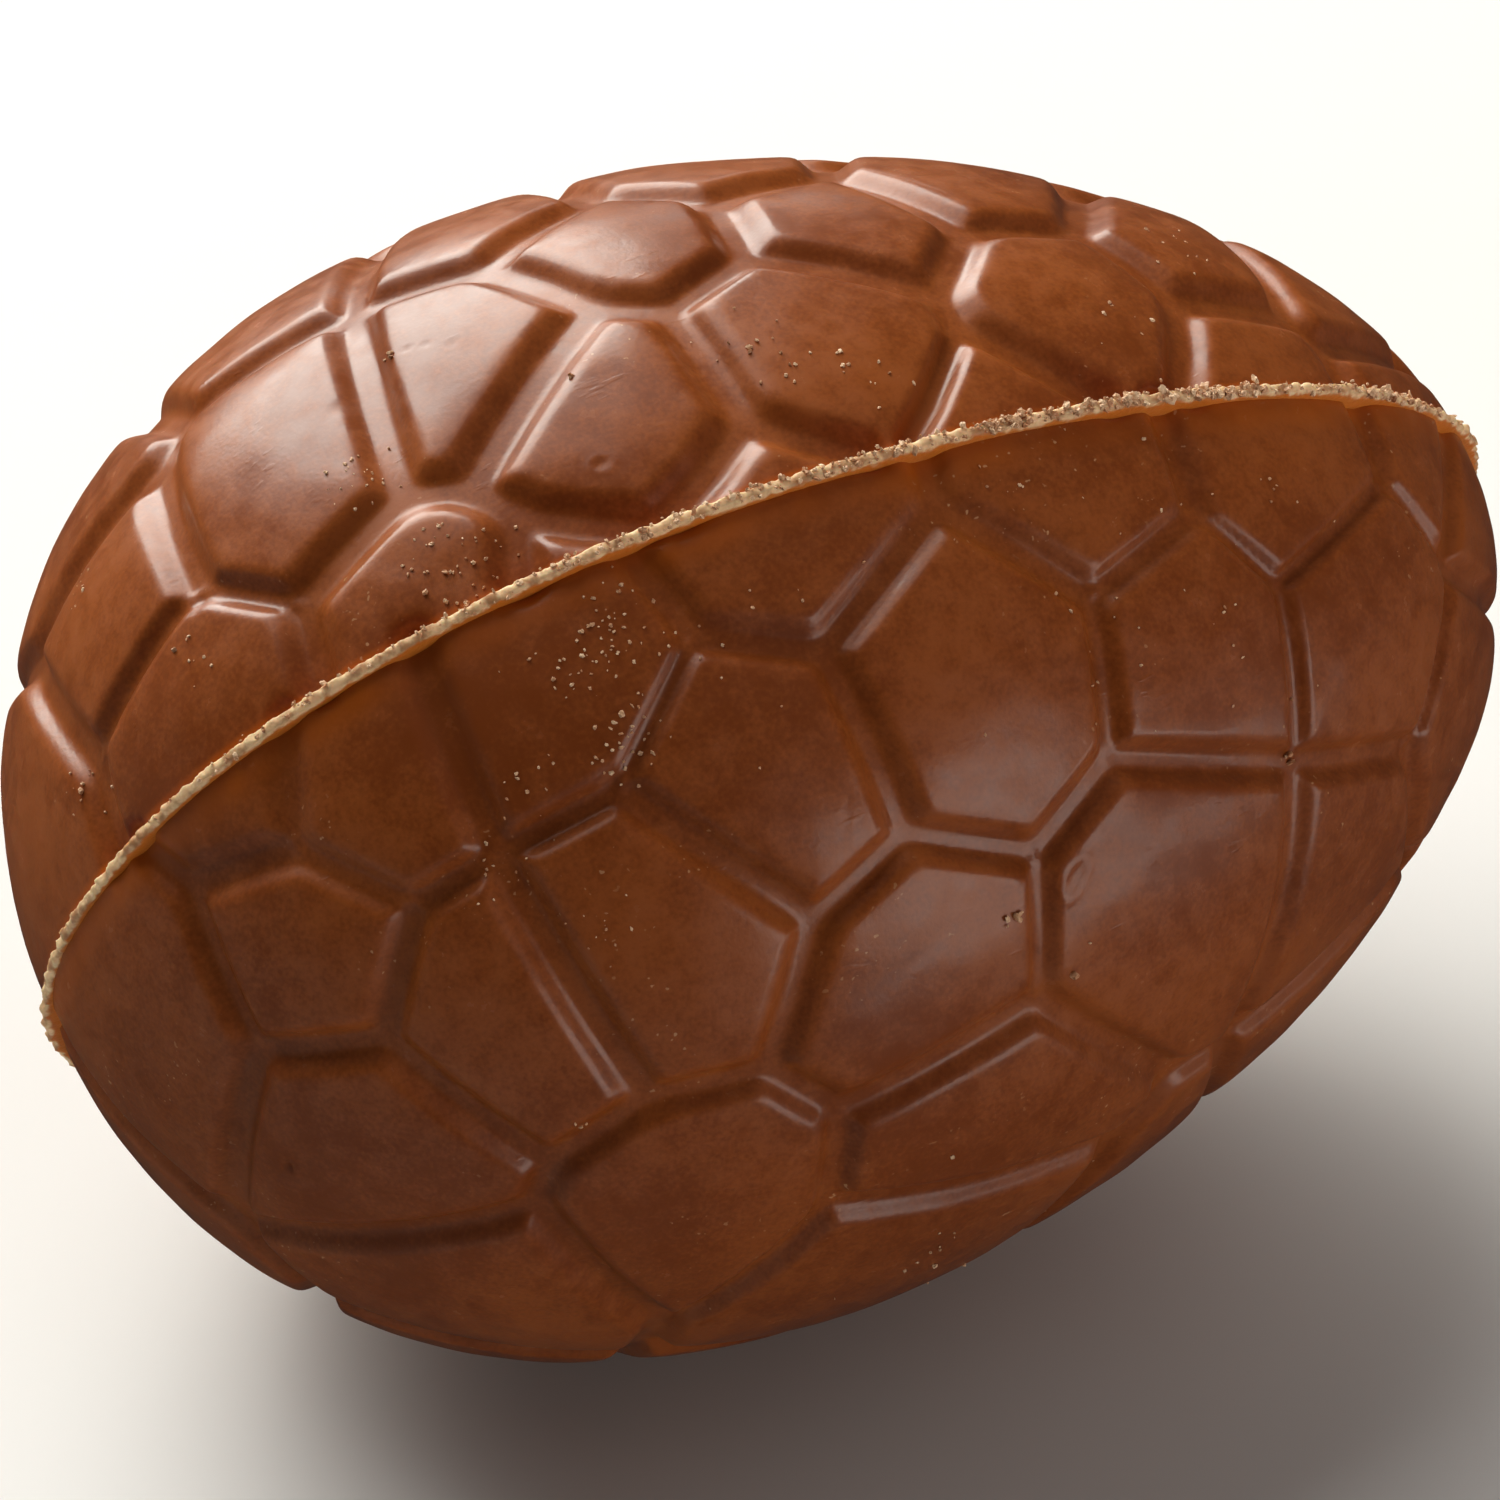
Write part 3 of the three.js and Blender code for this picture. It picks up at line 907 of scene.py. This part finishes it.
    def _press(self, piece: bpy.types.Object) -> None:
        """Carries the half ball onto the egg and presses plates, grooves and marks into it.

        Args:
            piece: The refined half ball.
        """
        mesh = piece.data
        surface, normals = self.form.wrap(read_points(mesh))
        distance, depth_share = self.net.distances(surface)
        height = self.net.height(surface, distance, depth_share)
        on_plate = 1 - self.net.hollow(distance)
        height += self.swell * ripple(surface, self.swell_length, 21)
        height += self.wobble * ripple(surface, self.wobble_length, 22) * on_plate
        height += self._marked(surface) * on_plate
        points = surface + height[:, None] * normals
        points[:, 2] = np.maximum(points[:, 2], 0)
        write_points(mesh, points)
        write_values(mesh, "from_seam", (points - self.form.centre) @ self.form.up / MM)

    def _close(self, piece: bpy.types.Object) -> None:
        """Fills the flat face in the seam plane and smooths the rest.

        Args:
            piece: The open half.
        """
        take_hold(piece)
        bpy.ops.object.mode_set(mode="EDIT")
        bpy.context.tool_settings.mesh_select_mode = (False, True, False)
        bpy.ops.mesh.select_all(action="DESELECT")
        bpy.ops.mesh.select_non_manifold(
            extend=False, use_wire=False, use_boundary=True, use_multi_face=False, use_non_contiguous=False
        )
        bpy.ops.mesh.edge_face_add()
        bpy.ops.mesh.select_all(action="SELECT")
        bpy.ops.mesh.normals_make_consistent(inside=False)
        bpy.ops.object.mode_set(mode="OBJECT")
        bpy.ops.object.shade_smooth_by_angle(angle=self.sharpest_smooth)

    def _dress(self, piece: bpy.types.Object) -> None:
        """Gives the half its finish and its place in the frame."""
        piece.data.materials.clear()
        piece.data.materials.append(self.finish)
        settle(piece)


def settle(piece: bpy.types.Object) -> None:
    """Ties a piece to the egg's body and reports it.

    Args:
        piece: A finished piece.
    """
    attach(piece, BODY)
    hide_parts(EGG_NODE)
    piece.data.calc_loop_triangles()
    log.info("%s: %d triangles", piece.name, len(piece.data.loop_triangles))


@dataclass
class SeamFin:
    """The thin trimmed fin that runs all round the seam."""

    form: EggForm
    finish: bpy.types.Material
    steps: int = 1500
    section_steps: int = 24
    root_depth: float = 0.9 * MM
    half_thickness: float = 0.24 * MM
    tip_half_thickness: float = 0.19 * MM
    height_at_sides: float = 0.42 * MM
    height_at_ends: float = 0.24 * MM
    lean: float = -0.26 * MM
    squareness: float = 0.45
    slow_rag: float = 0.07 * MM
    quick_rag: float = 0.14 * MM
    crumble: float = 0.07 * MM

    def height(self, turn: np.ndarray) -> np.ndarray:
        """How far the fin stands out at a turn of the seam.

        Args:
            turn: Turns round the seam, from the narrow end.

        Returns:
            Heights over the plain egg.
        """
        fullness = np.sin(turn) ** 2
        height = self.height_at_ends + (self.height_at_sides - self.height_at_ends) * fullness
        ring = np.column_stack([np.cos(turn), np.sin(turn), np.zeros_like(turn)])
        slow = ripple(ring, 0.35, 31)
        quick = np.array([noise.noise(Vector(p) * 60) for p in ring.tolist()])
        return height + self.slow_rag * slow * 0.6 + self.quick_rag * quick

    def place(self, turn: np.ndarray, out: np.ndarray, sideways: np.ndarray) -> np.ndarray:
        """Points beside the seam.

        Args:
            turn: Turns round the seam.
            out: Distances outwards from the plain egg.
            sideways: Distances from the seam plane towards the upper half.

        Returns:
            Rows of points.
        """
        along = self.form.slope(turn)
        away = self.form.half_length * np.sin(turn)
        length = np.hypot(along, away)
        x = self.form.half_length * np.cos(turn) + out * along / length
        r = self.form.girth(turn) + out * away / length
        flat = np.column_stack([x, r[:, None] * self.form.out[1:]])
        return flat + (sideways + self.lean)[:, None] * self.form.up + self.form.centre

    def build(self) -> bpy.types.Object:
        """Models the fin from a grid that is rolled into a ring.

        Returns:
            The finished fin.
        """
        start_afresh()
        bpy.ops.mesh.primitive_grid_add(
            x_subdivisions=self.steps, y_subdivisions=self.section_steps, size=2.0, location=(0, 0, 0)
        )
        piece = named_piece("seam_fin")
        points = read_points(piece.data)
        turn = math.pi * (points[:, 0] + 1)
        round_section = math.pi * (points[:, 1] + 1)
        outwards = np.cos(round_section)
        sideways = np.sin(round_section)
        square_out = np.sign(outwards) * np.abs(outwards) ** self.squareness
        square_side = np.sign(sideways) * np.abs(sideways) ** self.squareness
        top = self.height(turn)
        share = (square_out + 1) / 2
        out = -self.root_depth + (top + self.root_depth) * share
        thickness = self.half_thickness + (self.tip_half_thickness - self.half_thickness) * share
        placed = self.place(turn, out, thickness * square_side)
        tip = np.clip(out / top, 0, 1)
        rough = np.array([noise.noise_vector(Vector(p) * 4200)[:] for p in placed.tolist()])
        finer = np.array([noise.noise_vector(Vector(p) * 11000)[:] for p in placed.tolist()])
        placed += self.crumble * tip[:, None] * (rough + 0.5 * finer)
        write_points(piece.data, placed)
        write_values(piece.data, "tip", tip)
        take_hold(piece)
        bpy.ops.object.mode_set(mode="EDIT")
        bpy.ops.mesh.select_all(action="SELECT")
        bpy.ops.mesh.remove_doubles(threshold=0.001 * MM)
        bpy.ops.mesh.normals_make_consistent(inside=False)
        bpy.ops.object.mode_set(mode="OBJECT")
        bpy.ops.object.shade_smooth()
        piece.data.materials.clear()
        piece.data.materials.append(self.finish)
        settle(piece)
        return piece


@dataclass(frozen=True)
class Sprinkle:
    """A patch of crumbs on a plate: its middle, its spread in millimetres and how many there are."""

    x: float
    angle: float
    spread: float
    count: int
    size: float = 0.06


@dataclass(frozen=True)
class FinCrumbs:
    """Crumbs along the fin's tip, between two places along X on its front edge."""

    start: float
    end: float
    count: int
    size: float = 0.15


@dataclass
class Crumbs:
    """Loose crumbs and scrapings left from trimming."""

    form: EggForm
    net: GrooveNet
    fin: SeamFin
    finish: bpy.types.Material
    seed: int = 8
    sprinkles: tuple[Sprinkle, ...] = (
        Sprinkle(-14.3, 5, 0.8, 44),
        Sprinkle(-15.2, 20, 0.55, 24),
        Sprinkle(-11.6, -18, 0.7, 36, 0.075),
        Sprinkle(-12.3, -11, 0.6, 22),
        Sprinkle(-10.4, -8, 0.7, 44),
        Sprinkle(-1.5, 14, 0.8, 18),
        Sprinkle(0.4, 8, 0.6, 10),
        Sprinkle(-0.4, -47, 0.18, 7, 0.11),
        Sprinkle(1.4, -56, 0.05, 2, 0.11),
        Sprinkle(-15.6, -58, 0.15, 3, 0.07),
        Sprinkle(-13.8, -35, 0.7, 14),
        Sprinkle(-14.8, -21, 0.9, 12),
        Sprinkle(-3.3, -88, 0.8, 8, 0.07),
        Sprinkle(4.0, -7, 0.05, 2, 0.1),
        Sprinkle(12.2, -14, 0.3, 6, 0.07),
        Sprinkle(-22, 51, 0.4, 14),
        Sprinkle(-24, 24, 0.4, 12),
        Sprinkle(-21.2, 16, 0.4, 8),
        Sprinkle(-16.9, -28, 0.8, 10),
        Sprinkle(-7.8, 19, 0.05, 2, 0.08),
        Sprinkle(10.6, -46, 0.12, 3, 0.12),
        Sprinkle(-12.1, 34, 0.14, 6, 0.09),
        Sprinkle(13.9, 28, 0.7, 12),
        Sprinkle(10, 11, 0.7, 8),
        Sprinkle(-8, -12, 3.0, 22, 0.045),
        Sprinkle(8, -18, 3.5, 40, 0.045),
        Sprinkle(0, 110, 6.0, 30, 0.055),
        Sprinkle(5, -120, 6.0, 24, 0.055),
    )
    fin_crumbs: tuple[FinCrumbs, ...] = (
        FinCrumbs(-23, 24, 330, 0.065),
        FinCrumbs(3.5, 14, 150, 0.12),
        FinCrumbs(-11, 3.5, 70, 0.095),
        FinCrumbs(17, 22, 40, 0.1),
    )

    def build(self) -> bpy.types.Object:
        """Models one crumb and lays its copies out.

        Returns:
            All crumbs as one joined piece.
        """
        start_afresh()
        bpy.ops.mesh.primitive_ico_sphere_add(subdivisions=2, radius=1.0, location=(0, 0, 0))
        piece = named_piece("crumbs")
        template = read_points(piece.data)
        faces = np.array([polygon.vertices[:] for polygon in piece.data.polygons])
        rng = np.random.default_rng(self.seed)
        points, corners, shades = [], [], []
        for place, size in self._places(rng):
            turn = np.array(Matrix.Rotation(rng.uniform(0, math.tau), 3, Vector(rng.normal(size=3))))
            lumpy = template * rng.uniform(0.55, 1.25, size=(len(template), 1))
            shape = lumpy * rng.uniform(0.45, 1.4, size=3) * size
            corners.append(faces + len(template) * len(points))
            points.append(shape @ turn.T + place)
            shades.append(np.full(len(template), rng.beta(1.6, 1.4)))
        mesh = bpy.data.meshes.new("crumbs")
        mesh.from_pydata(np.concatenate(points).tolist(), [], np.concatenate(corners).tolist())
        old = piece.data
        piece.data = mesh
        bpy.data.meshes.remove(old)
        write_values(mesh, "shade", np.concatenate(shades))
        mesh.materials.append(self.finish)
        settle(piece)
        return piece

    def _places(self, rng: np.random.Generator) -> list[tuple[np.ndarray, float]]:
        """Chooses where each crumb lies and how large it is.

        Args:
            rng: Seeded source of the scatter.

        Returns:
            Pairs of a point and a radius, in metres.
        """
        places = []
        for patch in self.sprinkles:
            middle, normal = self.form.wrap(self.form.rays_at(np.array([[patch.x, patch.angle]])))
            spots = middle + rng.normal(size=(patch.count, 3)) * patch.spread * MM
            local = (spots - self.form.centre) / [self.form.half_length, *[self.form.half_width] * 2]
            rays = local / np.linalg.norm(local, axis=1, keepdims=True)
            surface, normals = self.form.wrap(rays)
            lift = self.net.height(surface, *self.net.distances(surface))
            for point, out, up in zip(surface, normals, lift):
                size = patch.size * rng.uniform(0.5, 1.25) * MM
                places.append((point + out * (up + 0.3 * size), size))
        for row in self.fin_crumbs:
            x = rng.uniform(row.start, row.end, row.count) * MM
            turn = np.arccos(x / self.form.half_length)
            out = self.fin.height(turn) + rng.normal(0, 0.05, row.count) * MM
            points = self.fin.place(turn, out, rng.uniform(-0.2, 0.22, row.count) * MM)
            sizes = row.size * rng.uniform(0.5, 1.35, row.count) * MM
            places.extend(zip(points, sizes))
        return places


# ---- Studio ----


@dataclass(frozen=True)
class Panel:
    """A soft light panel: where it stands from the egg, how large and how strong it is."""

    name: str
    azimuth: float
    elevation: float
    distance: float
    width: float
    height: float
    power: float
    tint: tuple[float, float, float] = (1.0, 1.0, 1.0)
    mirrored: bool = True
    lying: bool = False
    lit: bool = True


@dataclass
class Studio:
    """A pale floor, soft panels and the camera."""

    form: EggForm
    floor_size: float = 3.0
    view_azimuth: float = math.radians(-26.6)
    view_elevation: float = math.radians(42.3)
    view_distance: float = 0.3
    lens: float = 225.9
    shift: tuple[float, float] = (-0.0151, -0.0181)
    ambient: float = 0.025
    panels: tuple[Panel, ...] = (
        Panel("window", 180, 27, 0.6, 0.42, 0.46, 4.6, (1.0, 1.0, 0.93)),
        Panel("horizon", 168, 4, 0.8, 0.6, 0.1, 0.34, (1.0, 0.96, 0.9)),
        Panel("sky", 195, 52, 0.9, 0.8, 0.8, 7.0, (1.0, 0.98, 0.94), False),
        Panel("sheen", 188, 50, 0.9, 0.8, 0.8, 2.2, (1.0, 1.0, 0.96), lit=False),
        Panel("overhead", 70, 60, 0.9, 1.1, 1.1, 1.2, (1.0, 0.98, 0.94), False),
        Panel("low_front", 27, 10, 0.8, 0.46, 0.3, 1.4, (1.0, 0.87, 0.8)),
        Panel("front_card", 34, 0, 0.24, 0.14, 0.26, 0.34, (1.0, 0.87, 0.8), True, True),
    )

    def toward(self, azimuth: float, elevation: float) -> Vector:
        """Direction from the egg at an azimuth from -Y towards +X and an elevation.

        Args:
            azimuth: Angle in radians.
            elevation: Angle in radians.

        Returns:
            A unit direction.
        """
        level = math.cos(elevation)
        return Vector((math.sin(azimuth) * level, -math.cos(azimuth) * level, math.sin(elevation)))

    def build(self) -> None:
        """Sets up the floor, the lights and the camera."""
        self._floor()
        self._lights()
        self._camera()

    def _floor(self) -> None:
        """Lays the pale floor at the height the egg rests on."""
        start_afresh()
        bpy.ops.mesh.primitive_plane_add(size=self.floor_size, location=(0, 0, 0))
        floor = named_piece("floor")
        floor.data.materials.append(FloorFinish().material())
        floor.visible_glossy = False

    def _lights(self) -> None:
        """Hangs the panels and sets the even light around them."""
        for panel in self.panels:
            light = bpy.data.lights.new(panel.name, "AREA")
            light.shape = "RECTANGLE"
            light.size = panel.width
            light.size_y = panel.height
            light.energy = panel.power
            light.color = panel.tint
            lamp = bpy.data.objects.new(panel.name, light)
            bpy.context.scene.collection.objects.link(lamp)
            way = self.toward(math.radians(panel.azimuth), math.radians(panel.elevation))
            lamp.location = Vector(self.form.centre) + way * panel.distance
            lamp.rotation_euler = way.to_track_quat("Z", "Y").to_euler()
            if panel.lying:
                lamp.location.z = 2 * MM
                lamp.rotation_euler = (math.pi, 0, math.pi + math.radians(panel.azimuth))
            lamp.visible_glossy = panel.mirrored
            lamp.visible_diffuse = panel.lit
        world = bpy.data.worlds.new("soft_room")
        world.use_nodes = True
        background = world.node_tree.nodes["Background"]
        background.inputs["Color"].default_value = (1.0, 1.0, 1.0, 1.0)
        background.inputs["Strength"].default_value = self.ambient
        bpy.context.scene.world = world

    def _camera(self) -> None:
        """Places the camera and sets plain colour handling."""
        data = bpy.data.cameras.new("camera")
        data.lens = self.lens
        data.sensor_width = 36.0
        data.shift_x, data.shift_y = self.shift
        data.clip_start = 0.01
        camera = bpy.data.objects.new("camera", data)
        bpy.context.scene.collection.objects.link(camera)
        back = self.toward(self.view_azimuth, self.view_elevation)
        camera.location = Vector(self.form.centre) + back * self.view_distance
        camera.rotation_euler = back.to_track_quat("Z", "Y").to_euler()
        bpy.context.scene.camera = camera
        bpy.context.scene.view_settings.view_transform = "Standard"


def main() -> None:
    """Builds the egg's pieces in order, then the studio."""
    logging.basicConfig(level=logging.INFO, format="%(name)s: %(message)s")
    form = EggForm()
    net = GrooveNet(form)
    log.info("%d grooves", len(net.chains))
    chocolate = ChocolateFinish(form).material()
    for side in Side:
        MouldedHalf(form, net, side, chocolate).build()
    fin = SeamFin(form, ScrapedFinish().material())
    fin.build()
    Crumbs(form, net, fin, CrumbFinish().material()).build()
    Studio(form).build()


if __name__ == "__main__":
    main()
